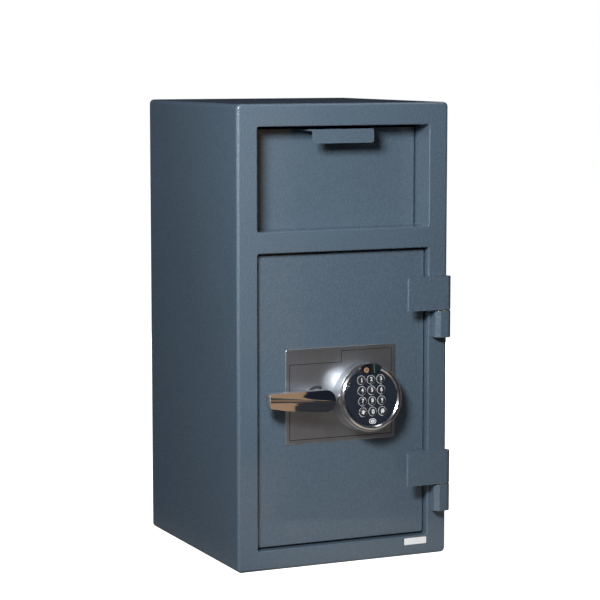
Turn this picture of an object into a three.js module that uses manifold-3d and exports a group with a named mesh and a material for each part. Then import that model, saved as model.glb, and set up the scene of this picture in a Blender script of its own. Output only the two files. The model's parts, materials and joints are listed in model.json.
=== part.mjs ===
// Drop safe: a sheet steel body, a tilting deposit hopper above, and an inset plate door below
// on two outside hinges, with a lever handle, a round keypad and a three bolt boltwork.
// Millimetres. +Z is up, the front faces -Y, and the origin is the middle of the footprint
// on the floor. At rest the door and the hopper are closed and the bolts are drawn back.

import * as THREE from 'three';
import { mergeVertices } from 'three/addons/utils/BufferGeometryUtils.js';
import Module from 'manifold-3d';

const wasm = await Module();
wasm.setup();

// Body
const bodyWidth = 348;
const bodyDepth = 356;
const bodyHeight = 694;
const bodySheet = 3.4;
const frontBendRadius = 5;
const longEdgeRadius = 7;
const anchorHoleRadius = 7;
const anchorHoleSetback = 60;

// Front frame, its two openings and what lines them
const frameBorder = 32.4;
const frameTopBorder = 33.5;
const frameBottomBorder = 30.5;
const hopperOpeningHeight = 154;
const frameRail = 32;
const openingEdgeRadius = 1.8;
const openingCornerRadius = 3;
const hopperSetback = 46.5;
const stopLip = 8;

// Clearances and fits
const seatGap = 0.3;
const runningGap = 0.4;
const doorGap = 3;
const doorSideGap = 2;
const doorStopGap = 0.3;
const hopperGap = 2;
const hopperLap = 2.5;
const cutOverrun = 2;

// Door
const doorThickness = 12.7;
const doorSetback = 11.5;
const doorCornerRadius = 2;
const doorEdgeChamfer = 0.8;
const hardPlateReach = 35;
const hardPlateThickness = 3.2;

// Hinges
const pinInset = 9;
const pinStandoff = 9;
const pinRadius = 4.8;
const pinReach = 34;
const barrelClearance = 0.5;
const hingeBlockReach = 67.5;
const hingeBlockHeight = 50.8;
const hingeBlockInset = 1;
const hingeBlockEase = 2.5;
const upperHingeDrop = 94.5;
const lowerHingeRise = 81.2;
const knuckleReach = 18.5;
const knuckleHeight = 41;
const knuckleChamferWidth = 7.5;
const knuckleChamferDepth = 5;
const washerThickness = 1.6;
const washerRadius = 7.2;

// Handle, on its axis through the door, left of the middle of the escutcheon
const handleOffset = 41.5;
const handleRise = 1.5;
const handleTurn = THREE.MathUtils.degToRad(90);
const leverLength = 92;
const leverThickness = 15;
const leverStandoff = 30;
const leverHubRadius = 16.8;
const leverTipHeight = 22;
const leverTipCorner = 4;
const leverTipRise = 5.2;
const leverEdgeRadius = 2.6;
const leverRidgeDrop = 2.2;
const neckRadius = 11;
const spindleRadius = 6;
const bushingWall = 3;
const rosetteRadius = 19;
const rosetteRim = 1.5;
const rosetteHeight = 4;
const rosetteCrownRadius = 15;

// Keypad, right of the middle of the escutcheon
const keypadOffset = 36.8;
const keypadRise = 1.9;
const keypadStandoff = 31;
const keypadTilt = THREE.MathUtils.degToRad(7.7);
const bezelRadius = 51.8;
const bezelInnerRadius = 42.5;
const bezelHeight = 9;
const bezelRound = 3.5;
const bezelEaseShare = 1 / 3;
const housingRadius = 51;
const housingWall = 3;
const faceRecess = 1.2;
const keyDepth = 5.5;
const keyRadius = 6;
const keyProud = 1.8;
const keyCrown = 0.5;
const keyCrownInset = 1.2;
const keyPitch = 16;
const keyRise = 2.4;
const keyColumnOffset = 0.2;
const windowWidth = 36;
const windowHeight = 16;
const windowRise = 43;
const windowProud = 0.8;
const cableHoleRadius = 6;

// Escutcheon
const escutcheonWidth = 183;
const escutcheonHeight = 144;
const escutcheonThickness = 1.2;
const escutcheonCornerRadius = 4;
const escutcheonShift = 0.8;
const escutcheonRise = 5;

// Boltwork, on the back of the door
const boltRadius = 12.7;
const boltThrow = 25;
const boltTipInset = 11;
const boltTipChamfer = 2;
const boltEndOffset = 29.5;
const boltEndInset = 79.5;
const boltClearance = 1.4;
const carriageBarWidth = 12;
const carriageBarDepth = 22;
const carriageBarOverhang = 26;
const carriagePlateThickness = 5;
const carriageSpineWidth = 9;
const crankThickness = 6;
const crankHubRadius = 11;
const crankEndRadius = 7.5;
const crankPinRadius = 4;
const crankPinOverhang = 2;
const crankSlotPlay = 0.75;
const guideArmHeight = 22;
const guideSlotPlay = 0.4;
const guideStudRadius = 4;
const guideStudCollar = 8;
const guideStudHeadRadius = 7;
const guideStudHead = 3;
const guideStudSetback = 38;
const lowerArmDrop = 88;
const lowerArmLength = 92;
const blockerTabWidth = 6;
const blockerTabPlay = 1.2;
const blockerTabLift = 2.5;
const boltworkMargin = 4;
const boltworkSheet = 3;
const boltworkDepth = 39.8;
const boltworkFlange = 14;
const boltworkInset = 44;
const boltworkEndMargin = 20;
const coverThickness = 1.5;
const deadBarInset = 33;
const deadBarFoot = 22;
const deadBarReach = 6;
const deadBarStandoff = 7.8;
const deadBarThickness = 10;
const deadBarEndMargin = 38;

// Lock case, below the blocker tab of the carriage
const lockCaseWidth = 62;
const lockCaseHeight = 82;
const lockCaseDepth = 32;
const lockCaseDrop = 9;
const lockBoltWidth = 14.5;
const lockBoltDepth = 13;
const lockBoltLength = 19;
const lockBoltProud = 0.7;
const lockBoltTravel = 9;
const lockBoltSetback = 5;

// Hopper
const hopperSheet = 2;
const hopperPanelThickness = 3;
const hopperTopGap = 5;
const hopperPivotSetback = 7.5;
const hopperPivotRise = 8;
const pivotRodRadius = 4;
const trayLength = 136;
const traySlope = THREE.MathUtils.degToRad(30);
const cheekRadius = 130;
const stopLugRadius = 150;
const hopperOpenAngle = THREE.MathUtils.degToRad(50);
const stopLugSpan = THREE.MathUtils.degToRad(12);
const stopLugRelief = THREE.MathUtils.degToRad(1);
const pullWidth = 101;
const pullDrop = 21;
const pullSetback = 5;
const pullThickness = 2.8;
const pullFlare = 9;
const pullCornerRadius = 3;

// Chute behind the hopper
const chuteDepth = 154;
const chuteFloorDepth = 54;
const chuteRise = 66;
const chuteSheet = 2.6;
const baffleSheet = 2;
const baffleSetback = 215;
const baffleTopRise = 116;
const baffleFlange = 16;
const baffleFoldRise = 14;
const baffleDrop = 28;
const baffleTeeth = 14;
const baffleToothDepth = 14;

// Facets of round shapes
const fineFacets = 40;
const plainFacets = 24;
const coarseFacets = 16;
const cornerFacets = 4;

// Planes and places that follow from the sizes above
const frontY = -bodyDepth / 2;
const backY = bodyDepth / 2;
const openingHalfWidth = bodyWidth / 2 - frameBorder;
const hopperOpeningTop = bodyHeight - frameTopBorder;
const hopperOpeningBottom = hopperOpeningTop - hopperOpeningHeight;
const doorOpeningBottom = frameBottomBorder;
const doorOpeningTop = hopperOpeningBottom - frameRail;
const doorHalfWidth = openingHalfWidth - doorSideGap;
const doorBottom = doorOpeningBottom + doorGap;
const doorTop = doorOpeningTop - doorGap;
const doorMiddleZ = (doorBottom + doorTop) / 2;
const doorFaceY = frontY + doorSetback;
const doorBackY = doorFaceY + doorThickness;
const stopFrontY = doorBackY + doorStopGap;
const jambBackY = stopFrontY + bodySheet;
const pinX = bodyWidth / 2 - pinInset;
const pinY = frontY - pinStandoff;
const barrelRadius = pinStandoff - barrelClearance;
const upperBlockBottom = doorOpeningTop - upperHingeDrop;
const lowerBlockBottom = doorOpeningBottom + lowerHingeRise;
const escutcheonFaceY = doorFaceY - escutcheonThickness;
const escutcheonX = -escutcheonShift;
const escutcheonZ = doorMiddleZ + escutcheonRise;
const handleX = escutcheonX - handleOffset;
const handleZ = doorMiddleZ + handleRise;
const keypadX = escutcheonX + keypadOffset;
const keypadZ = doorMiddleZ + keypadRise;
const hardPlateBackY = doorBackY + hardPlateThickness;
const crankFrontY = hardPlateBackY + crankSlotPlay;
const crankBackY = crankFrontY + crankThickness;
const carriageFrontY = crankBackY + crankSlotPlay;
const carriageBackY = carriageFrontY + carriagePlateThickness;
const boltY = jambBackY + boltClearance + boltRadius;
const boltTipX = -doorHalfWidth + boltTipInset;
const boltEndX = handleX - boltEndOffset;
const boltLength = boltEndX - boltTipX;
const boltSpread = (doorTop - doorBottom) / 2 - boltEndInset;
const carriageBarX = boltEndX + carriageBarWidth;
const boltworkLeft = boltTipX + boltworkMargin;
const boltworkRight = doorHalfWidth - boltworkInset;
const boltworkBackY = doorBackY + boltworkDepth;
const lockCaseTop = handleZ + lockCaseHeight / 2 - lockCaseDrop;
const upperArmBottom = lockCaseTop + lockBoltProud + lockBoltTravel + blockerTabLift;
const upperArmZ = upperArmBottom + guideArmHeight / 2;
const lowerArmZ = handleZ - lowerArmDrop;
const guideStudX = handleX + guideStudSetback;
const crankRadius = boltThrow / (2 * Math.sin(handleTurn / 2));
const crankPinX = handleX + crankRadius * Math.sin(handleTurn / 2);
const crankPinZ = handleZ + crankRadius * Math.cos(handleTurn / 2);
const deadBarLeft = doorHalfWidth - deadBarInset;
const boltHeights = [handleZ - boltSpread, handleZ, handleZ + boltSpread];
const hopperFaceY = frontY + hopperSetback;
const hopperPanelBackY = hopperFaceY + hopperPanelThickness;
const surroundBackY = hopperFaceY - seatGap;
const hopperTop = hopperOpeningTop - hopperTopGap;
const hopperBottom = hopperOpeningBottom - hopperLap;
const hopperHalfWidth = openingHalfWidth - hopperGap;
const hopperPivotY = hopperFaceY + hopperPivotSetback;
const hopperPivotZ = hopperOpeningBottom + hopperPivotRise;
const cheekHalfWidth = hopperHalfWidth - seatGap;
const baffleTop = hopperOpeningBottom + baffleTopRise;
const baffleFold = hopperOpeningBottom + baffleFoldRise;
const baffleBottom = hopperOpeningBottom - baffleDrop;

// Finishes
const paint = { color: 0x5f6f7c, roughness: 0.55, metalness: 0.2 };
const innerPaint = { color: 0x55636f, roughness: 0.6, metalness: 0.2 };
const chrome = { color: 0xd8d8d6, roughness: 0.12, metalness: 1 };
const brushedSteel = { color: 0xa7a29b, roughness: 0.35, metalness: 0.95 };
const plainSteel = { color: 0x8b8e90, roughness: 0.45, metalness: 0.9 };
const brass = { color: 0xc9b37a, roughness: 0.35, metalness: 0.9 };
const blackPlastic = { color: 0x14171b, roughness: 0.35, metalness: 0 };
const keyPlastic = { color: 0x1d2228, roughness: 0.4, metalness: 0 };
const darkGloss = { color: 0x1a2622, roughness: 0.1, metalness: 0 };

// Directions that an outline is carried along
const xAxis = new THREE.Vector3(1, 0, 0);
const yAxis = new THREE.Vector3(0, 1, 0);
const zAxis = new THREE.Vector3(0, 0, 1);
const outlineToX = new THREE.Matrix4().makeBasis(yAxis, zAxis, xAxis);
const outlineToFront = new THREE.Matrix4().makeBasis(xAxis, zAxis, yAxis.clone().negate());

function block([x0, x1], [y0, y1], [z0, z1]) {
  const geometry = new THREE.BoxGeometry(x1 - x0, y1 - y0, z1 - z0);
  return geometry.translate((x0 + x1) / 2, (y0 + y1) / 2, (z0 + z1) / 2);
}

// A (y, z) outline carried from x0 to x1
function alongX(shape, x0, x1, facets = plainFacets) {
  const options = { depth: x1 - x0, bevelEnabled: false, curveSegments: facets / 2 };
  return new THREE.ExtrudeGeometry(shape, options).applyMatrix4(outlineToX).translate(x0, 0, 0);
}

// An (x, z) outline carried from y0 to y1
function alongY(shape, y0, y1, facets = plainFacets) {
  const options = { depth: y1 - y0, bevelEnabled: false, curveSegments: facets / 2 };
  return new THREE.ExtrudeGeometry(shape, options).applyMatrix4(outlineToFront).translate(0, y1, 0);
}

// An (x, y) outline carried from z0 to z1
function alongZ(shape, z0, z1, facets = plainFacets) {
  const options = { depth: z1 - z0, bevelEnabled: false, curveSegments: facets / 2 };
  return new THREE.ExtrudeGeometry(shape, options).translate(0, 0, z0);
}

function polygon(points) {
  return new THREE.Shape(points.map(([u, v]) => new THREE.Vector2(u, v)));
}

function circle(u, v, radius) {
  return new THREE.Shape().absarc(u, v, radius, 0, 2 * Math.PI, false);
}

// A slot with round ends, level, between two end centres
function levelSlot(u0, u1, v, radius) {
  const shape = new THREE.Shape();
  shape.absarc(u1, v, radius, -Math.PI / 2, Math.PI / 2, false);
  shape.absarc(u0, v, radius, Math.PI / 2, 1.5 * Math.PI, false);
  return shape;
}

// A slot with round ends, upright, between two end centres
function uprightSlot(u, v0, v1, radius) {
  const shape = new THREE.Shape();
  shape.absarc(u, v1, radius, 0, Math.PI, false);
  shape.absarc(u, v0, radius, Math.PI, 2 * Math.PI, false);
  return shape;
}

// The corner points of a rounded rectangle, from its lower right corner round to its lower left
function roundedCorners([u0, u1], [v0, v1], radius) {
  const corners = [
    [u1 - radius, v0 + radius, -Math.PI / 2],
    [u1 - radius, v1 - radius, 0],
    [u0 + radius, v1 - radius, Math.PI / 2],
    [u0 + radius, v0 + radius, Math.PI],
  ];
  return corners.flatMap(([u, v, start]) =>
    Array.from({ length: cornerFacets + 1 }, (_, step) => {
      const angle = start + (step / cornerFacets) * (Math.PI / 2);
      return [u + radius * Math.cos(angle), v + radius * Math.sin(angle)];
    }),
  );
}

function roundedRectangle(u, v, radius) {
  return polygon(roundedCorners(u, v, radius));
}

// A turned shape about a level axis that points to the front: profile points are
// (radius, distance in front of y)
function turnedToFront(profile, x, y, z, facets = plainFacets) {
  const points = profile.map(([radius, out]) => new THREE.Vector2(radius, out));
  return new THREE.LatheGeometry(points, facets).rotateX(Math.PI).translate(x, y, z);
}

// A round bar along X, Y or Z between two places on that axis
function rodX(y, z, radius, x0, x1, facets = plainFacets) {
  const geometry = new THREE.CylinderGeometry(radius, radius, x1 - x0, facets).rotateZ(-Math.PI / 2);
  return geometry.translate((x0 + x1) / 2, y, z);
}

function rodY(x, z, radius, y0, y1, facets = plainFacets) {
  return new THREE.CylinderGeometry(radius, radius, y1 - y0, facets).translate(x, (y0 + y1) / 2, z);
}

function rodZ(x, y, radius, z0, z1, facets = plainFacets) {
  const geometry = new THREE.CylinderGeometry(radius, radius, z1 - z0, facets).rotateX(Math.PI / 2);
  return geometry.translate(x, y, (z0 + z1) / 2);
}

// Rounded rectangles stacked from front to back and skinned into one closed solid.
// Each section is { y, x: [x0, x1], z: [z0, z1], radius }.
function loftedPlate(sections) {
  const rings = sections.map(({ y, x, z, radius }) =>
    roundedCorners(x, z, radius).map(([ringX, ringZ]) => [ringX, y, ringZ]),
  );
  const count = rings[0].length;
  const positions = rings.flat(2);
  const index = [];
  for (let ring = 0; ring + 1 < rings.length; ring += 1) {
    for (let step = 0; step < count; step += 1) {
      const next = (step + 1) % count;
      const [a, b] = [ring * count + step, ring * count + next];
      const [c, d] = [b + count, a + count];
      index.push(a, d, b, b, d, c);
    }
  }
  const last = (rings.length - 1) * count;
  for (let step = 1; step + 1 < count; step += 1) {
    index.push(0, step, step + 1);
    index.push(last, last + step + 1, last + step);
  }
  const geometry = new THREE.BufferGeometry();
  geometry.setAttribute('position', new THREE.Float32BufferAttribute(positions, 3));
  geometry.setIndex(index);
  return geometry;
}

// The sections of a rectangle whose front edge is a quarter round of the given radius
function easedFront(x, z, y, edge, cornerRadius) {
  const sections = [];
  for (let step = 0; step <= cornerFacets; step += 1) {
    const angle = (step / cornerFacets) * (Math.PI / 2);
    const inset = edge * (1 - Math.sin(angle));
    sections.push({
      y: y + edge * (1 - Math.cos(angle)),
      x: [x[0] + inset, x[1] - inset],
      z: [z[0] + inset, z[1] - inset],
      radius: cornerRadius - inset,
    });
  }
  return sections;
}

// The sections of a cutter that leaves a quarter round on the front edge of an opening
function flaredFront(x, z, y, edge, cornerRadius) {
  const sections = [];
  for (let step = 0; step <= cornerFacets; step += 1) {
    const angle = (step / cornerFacets) * (Math.PI / 2);
    const flare = edge * (1 - Math.sin(angle));
    sections.push({
      y: y + edge * (1 - Math.cos(angle)),
      x: [x[0] - flare, x[1] + flare],
      z: [z[0] - flare, z[1] + flare],
      radius: cornerRadius + flare,
    });
  }
  return sections;
}

function solid(geometry) {
  const bare = geometry.clone();
  bare.deleteAttribute('normal');
  bare.deleteAttribute('uv');
  const merged = mergeVertices(bare);
  return new wasm.Manifold(
    new wasm.Mesh({
      numProp: 3,
      vertProperties: Float32Array.from(merged.attributes.position.array),
      triVerts: Uint32Array.from(merged.index.array),
    }),
  );
}

function geometryOf(manifold) {
  const mesh = manifold.getMesh();
  const geometry = new THREE.BufferGeometry();
  geometry.setAttribute('position', new THREE.BufferAttribute(mesh.vertProperties, 3));
  geometry.setIndex(new THREE.BufferAttribute(mesh.triVerts, 1));
  const faceted = geometry.toNonIndexed();
  faceted.computeVertexNormals();
  return faceted;
}

// The first geometry, joined with the added ones and then cut by the others
function worked(first, { add = [], cut = [] }) {
  let manifold = solid(first);
  for (const geometry of add) manifold = manifold.add(solid(geometry));
  for (const geometry of cut) manifold = manifold.subtract(solid(geometry));
  return geometryOf(manifold);
}

// A group at a joint's axis. Its pieces are modelled in the part's frame and hung from it.
function jointGroup(parent, x, y, z) {
  const group = new THREE.Group();
  group.position.set(x, y, z).sub(parent.userData.origin);
  group.userData.origin = new THREE.Vector3(x, y, z);
  parent.add(group);
  return group;
}

function addPiece(group, name, geometry, finish) {
  const { x, y, z } = group.userData.origin;
  const placed = geometry.clone().translate(-x, -y, -z);
  const mesh = new THREE.Mesh(placed, new THREE.MeshStandardMaterial(finish));
  mesh.name = name;
  group.add(mesh);
  return mesh;
}

// Body: the wrap, its back, and the frame with the linings of its two openings

function bodyOutline(inset) {
  const halfWidth = bodyWidth / 2 - inset;
  return roundedRectangle([-halfWidth, halfWidth], [inset, bodyHeight - inset], longEdgeRadius - inset);
}

function bodyWrap() {
  const outline = bodyOutline(0);
  outline.holes.push(bodyOutline(bodySheet));
  const wrap = alongY(outline, frontY + frontBendRadius, backY - bodySheet, coarseFacets);
  const anchorHole = rodZ(0, anchorHoleSetback, anchorHoleRadius, -cutOverrun, bodySheet + cutOverrun);
  return worked(wrap, { cut: [anchorHole] });
}

function backPanel() {
  return alongY(bodyOutline(0), backY - bodySheet, backY, coarseFacets);
}

const frameX = [-bodyWidth / 2, bodyWidth / 2];
const openingX = [-openingHalfWidth, openingHalfWidth];
const hopperOpeningZ = [hopperOpeningBottom, hopperOpeningTop];
const doorOpeningZ = [doorOpeningBottom, doorOpeningTop];

function openingCutter(z) {
  const [first, ...rest] = flaredFront(openingX, z, frontY, openingEdgeRadius, openingCornerRadius);
  const straight = rest[rest.length - 1];
  return loftedPlate([
    { ...first, y: frontY - cutOverrun },
    first,
    ...rest,
    { ...straight, y: frontY + frontBendRadius + cutOverrun },
  ]);
}

function frontFrame() {
  const plate = loftedPlate(easedFront(frameX, [0, bodyHeight], frontY, frontBendRadius, longEdgeRadius));
  const hollow = alongY(
    bodyOutline(bodySheet),
    frontY + bodySheet,
    frontY + frontBendRadius + cutOverrun,
    coarseFacets,
  );
  return worked(plate, { cut: [hollow, openingCutter(hopperOpeningZ), openingCutter(doorOpeningZ)] });
}

// A rectangular sleeve of body sheet round an opening, behind the front plate
function sleeve(z, endY) {
  const outside = [openingX[0] - bodySheet, openingX[1] + bodySheet];
  const outline = roundedRectangle(
    outside,
    [z[0] - bodySheet, z[1] + bodySheet],
    openingCornerRadius + bodySheet,
  );
  outline.holes.push(roundedRectangle(openingX, z, openingCornerRadius));
  return alongY(outline, frontY + bodySheet, endY, coarseFacets);
}

function doorJamb() {
  const stopY = [stopFrontY, jambBackY];
  const leftStop = block(
    [openingX[0] - bodySheet / 2, openingX[0] + stopLip],
    stopY,
    [doorOpeningBottom, doorOpeningTop],
  );
  const topStop = block(
    [openingX[0], openingX[1]],
    stopY,
    [doorOpeningTop - stopLip, doorOpeningTop + bodySheet / 2],
  );
  const bottomStop = block(
    [openingX[0], openingX[1]],
    stopY,
    [doorOpeningBottom - bodySheet / 2, doorOpeningBottom + stopLip],
  );
  return worked(sleeve(doorOpeningZ, jambBackY), { add: [leftStop, topStop, bottomStop] });
}

function hopperSurround() {
  return sleeve(hopperOpeningZ, surroundBackY);
}

// Chute: two side plates that carry the hopper's pivot rod, and a toothed baffle behind

function chuteSide(side) {
  const chuteBottom = hopperOpeningBottom - bodySheet;
  const roof = bodyHeight - bodySheet;
  const outline = polygon([
    [surroundBackY, chuteBottom],
    [surroundBackY + chuteFloorDepth, chuteBottom],
    [surroundBackY + chuteDepth, chuteBottom + chuteRise],
    [surroundBackY + chuteDepth, roof],
    [surroundBackY, roof],
  ]);
  outline.holes.push(circle(hopperPivotY, hopperPivotZ, pivotRodRadius + seatGap));
  const [inner, outer] = [openingHalfWidth, openingHalfWidth + chuteSheet];
  return side < 0 ? alongX(outline, -outer, -inner) : alongX(outline, inner, outer);
}

function hopperPivotRod() {
  const reach = openingHalfWidth + chuteSheet;
  return rodX(hopperPivotY, hopperPivotZ, pivotRodRadius, -reach, reach);
}

function antiFishBaffle() {
  const wallY = backY - bodySheet;
  const lipY = frontY + baffleSetback;
  const halfWidth = bodyWidth / 2 - bodySheet;
  const sheet = polygon([
    [wallY, baffleTop + baffleFlange],
    [wallY, baffleTop - baffleSheet],
    [lipY + baffleSheet, baffleFold - baffleSheet],
    [lipY + baffleSheet, baffleBottom],
    [lipY, baffleBottom],
    [lipY, baffleFold],
    [wallY - baffleSheet, baffleTop],
    [wallY - baffleSheet, baffleTop + baffleFlange],
  ]);
  const pitch = (2 * halfWidth) / baffleTeeth;
  const notches = new Array(baffleTeeth - 1).fill().map((_, index) => {
    const middle = -halfWidth + pitch * (index + 1);
    const notch = polygon([
      [middle - pitch / 2, baffleBottom - cutOverrun],
      [middle + pitch / 2, baffleBottom - cutOverrun],
      [middle, baffleBottom + baffleToothDepth],
    ]);
    return alongY(notch, lipY - cutOverrun, lipY + baffleSheet + cutOverrun);
  });
  return worked(alongX(sheet, -halfWidth, halfWidth), { cut: notches });
}

// Hinges: a knuckle welded to the frame, a pin, a washer and a block welded to the door

function hingeKnuckle(top) {
  const left = pinX - knuckleReach;
  const barrelFrontY = pinY - barrelRadius;
  const outline = new THREE.Shape();
  outline.moveTo(left, frontY);
  outline.lineTo(left, barrelFrontY + knuckleChamferDepth);
  outline.lineTo(left + knuckleChamferWidth, barrelFrontY);
  outline.absarc(pinX, pinY, barrelRadius, -Math.PI / 2, 0, false);
  outline.lineTo(pinX + barrelRadius, frontY);
  const pinHole = rodZ(pinX, pinY, pinRadius + seatGap, top - pinReach, top + cutOverrun);
  return worked(alongZ(outline, top - knuckleHeight, top, fineFacets), { cut: [pinHole] });
}

function hingeBlock(bottom) {
  const step = doorHalfWidth - hingeBlockInset;
  const easedX = pinX - hingeBlockReach + hingeBlockEase;
  const easedY = pinY - barrelRadius + hingeBlockEase;
  const outline = new THREE.Shape();
  outline.moveTo(pinX - hingeBlockReach, doorFaceY);
  outline.absarc(easedX, easedY, hingeBlockEase, Math.PI, 1.5 * Math.PI, false);
  outline.absarc(pinX, pinY, barrelRadius, -Math.PI / 2, Math.PI / 2, false);
  outline.lineTo(step, pinY + barrelRadius);
  outline.lineTo(step, doorFaceY);
  const pinHole = rodZ(pinX, pinY, pinRadius + seatGap, bottom - cutOverrun, bottom + pinReach + seatGap);
  return worked(alongZ(outline, bottom, bottom + hingeBlockHeight, fineFacets), { cut: [pinHole] });
}

function hingeWasher(blockBottom) {
  const outline = circle(pinX, pinY, washerRadius);
  outline.holes.push(circle(pinX, pinY, pinRadius + seatGap));
  return alongZ(outline, blockBottom - washerThickness, blockBottom - seatGap);
}

function hingePin(blockBottom) {
  const knuckleTop = blockBottom - washerThickness;
  return rodZ(pinX, pinY, pinRadius, knuckleTop - pinReach, blockBottom + pinReach - seatGap);
}

// Door: the plate, what is fixed to its face, and the still parts of the boltwork behind it

function doorPlate() {
  const x = [-doorHalfWidth, doorHalfWidth];
  const z = [doorBottom, doorTop];
  const faceX = [x[0] + doorEdgeChamfer, x[1] - doorEdgeChamfer];
  const faceZ = [z[0] + doorEdgeChamfer, z[1] - doorEdgeChamfer];
  const edgeRadius = doorCornerRadius + doorEdgeChamfer;
  const plate = loftedPlate([
    { y: doorFaceY, x: faceX, z: faceZ, radius: doorCornerRadius },
    { y: doorFaceY + doorEdgeChamfer, x, z, radius: edgeRadius },
    { y: doorBackY, x, z, radius: edgeRadius },
  ]);
  const bushingRadius = spindleRadius + runningGap + bushingWall + seatGap;
  return worked(plate, {
    cut: [
      rodY(handleX, handleZ, bushingRadius, doorFaceY - cutOverrun, doorBackY + cutOverrun),
      rodY(keypadX, keypadZ, cableHoleRadius, doorFaceY - cutOverrun, doorBackY + cutOverrun),
    ],
  });
}

function spindleBushing() {
  const outline = circle(handleX, handleZ, spindleRadius + runningGap + bushingWall);
  outline.holes.push(circle(handleX, handleZ, spindleRadius + runningGap));
  return alongY(outline, doorFaceY, doorBackY);
}

// The hard plate backs the lock case and the spindle, below the upper guide stud
function hardPlate() {
  const x = [handleX - hardPlateReach, keypadX + lockCaseWidth / 2];
  const z = [lockCaseTop - lockCaseHeight, upperArmZ - guideStudCollar - runningGap];
  const outline = roundedRectangle(x, z, doorCornerRadius);
  outline.holes.push(circle(handleX, handleZ, spindleRadius + runningGap));
  outline.holes.push(circle(keypadX, keypadZ, cableHoleRadius));
  return alongY(outline, doorBackY, hardPlateBackY, coarseFacets);
}

function escutcheonPlate() {
  const x = [escutcheonX - escutcheonWidth / 2, escutcheonX + escutcheonWidth / 2];
  const z = [escutcheonZ - escutcheonHeight / 2, escutcheonZ + escutcheonHeight / 2];
  const outline = roundedRectangle(x, z, escutcheonCornerRadius);
  outline.holes.push(circle(handleX, handleZ, spindleRadius + runningGap));
  outline.holes.push(circle(keypadX, keypadZ, cableHoleRadius));
  return alongY(outline, escutcheonFaceY, doorFaceY, coarseFacets);
}

function handleRosette() {
  const bore = neckRadius + runningGap;
  const profile = [
    [bore, 0],
    [rosetteRadius, 0],
    [rosetteRadius, rosetteRim],
    [rosetteCrownRadius, rosetteHeight],
    [bore, rosetteHeight],
    [bore, 0],
  ];
  return turnedToFront(profile, handleX, escutcheonFaceY, handleZ, fineFacets);
}

function deadBar() {
  const tipX = openingHalfWidth + deadBarReach;
  const noseFrontY = doorBackY + deadBarStandoff;
  const noseBackY = noseFrontY + deadBarThickness;
  const outline = polygon([
    [deadBarLeft, doorBackY],
    [deadBarLeft + deadBarFoot, doorBackY],
    [deadBarLeft + deadBarFoot, noseFrontY],
    [tipX, noseFrontY],
    [tipX, noseBackY],
    [deadBarLeft, noseBackY],
  ]);
  return alongZ(outline, doorBottom + deadBarEndMargin, doorTop - deadBarEndMargin);
}

const boltworkX = [boltworkLeft, boltworkRight];
const boltworkZ = [
  boltHeights[0] - carriageBarOverhang - boltworkEndMargin,
  boltHeights[2] + carriageBarOverhang + boltworkEndMargin,
];

function boltworkFrame() {
  const inside = boltworkSheet;
  const window = boltworkFlange;
  const cavity = block(
    [boltworkX[0] + inside, boltworkX[1] - inside],
    [doorBackY - cutOverrun, boltworkBackY - inside],
    [boltworkZ[0] + inside, boltworkZ[1] - inside],
  );
  const backWindow = block(
    [boltworkX[0] + window, boltworkX[1] - window],
    [boltworkBackY - inside - cutOverrun, boltworkBackY + cutOverrun],
    [boltworkZ[0] + window, boltworkZ[1] - window],
  );
  const boltHoles = boltHeights.map((z) => {
    const radius = boltRadius + runningGap;
    return rodX(boltY, z, radius, boltworkX[0] - cutOverrun, boltworkX[0] + inside + cutOverrun);
  });
  const tray = block(boltworkX, [doorBackY, boltworkBackY], boltworkZ);
  return worked(tray, { cut: [cavity, backWindow, ...boltHoles] });
}

function innerCover() {
  const outline = roundedRectangle(boltworkX, boltworkZ, doorCornerRadius);
  return alongY(outline, boltworkBackY, boltworkBackY + coverThickness, coarseFacets);
}

const lockCaseX = [keypadX - lockCaseWidth / 2, keypadX + lockCaseWidth / 2];
const lockBoltX = [keypadX - lockBoltWidth / 2, keypadX + lockBoltWidth / 2];
const lockBoltY = [hardPlateBackY + lockBoltSetback, hardPlateBackY + lockBoltSetback + lockBoltDepth];
const lockBoltTop = lockCaseTop + lockBoltProud;

function lockCase() {
  const y = [hardPlateBackY, hardPlateBackY + lockCaseDepth];
  const pocket = block(
    [lockBoltX[0] - runningGap, lockBoltX[1] + runningGap],
    [lockBoltY[0] - runningGap, lockBoltY[1] + runningGap],
    [lockBoltTop - lockBoltLength - runningGap, lockCaseTop + cutOverrun],
  );
  return worked(block(lockCaseX, y, [lockCaseTop - lockCaseHeight, lockCaseTop]), { cut: [pocket] });
}

function lockCaseBolt() {
  return block(lockBoltX, lockBoltY, [lockBoltTop - lockBoltLength, lockBoltTop]);
}

function guideStud(z) {
  const collarTop = carriageFrontY - seatGap - doorBackY;
  const shankTop = carriageBackY + seatGap - doorBackY;
  const profile = [
    [0, 0],
    [0, shankTop + guideStudHead],
    [guideStudHeadRadius, shankTop + guideStudHead],
    [guideStudHeadRadius, shankTop],
    [guideStudRadius, shankTop],
    [guideStudRadius, collarTop],
    [guideStudCollar, collarTop],
    [guideStudCollar, 0],
    [0, 0],
  ];
  const points = profile.map(([radius, back]) => new THREE.Vector2(radius, back));
  return new THREE.LatheGeometry(points.reverse(), coarseFacets).translate(guideStudX, doorBackY, z);
}

// Handle: the lever, its spindle through the door, and the crank that drives the carriage

// The lever's front falls back on both sides of a ridge that runs from the hub to the tip.
// The cutter takes off one side, above the ridge or below it.
function ridgeCutter(side, frontFaceY) {
  const reach = 2 * leverLength;
  const fall = Math.atan2(leverRidgeDrop, leverHubRadius);
  const climb = Math.atan2(leverTipRise, leverLength);
  const cutter = side > 0 ? block([-reach, reach], [-reach, 0], [0, reach])
    : block([-reach, reach], [-reach, 0], [-reach, 0]);
  return cutter.rotateX(-side * fall).rotateY(climb).translate(handleX, frontFaceY, handleZ);
}

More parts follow.
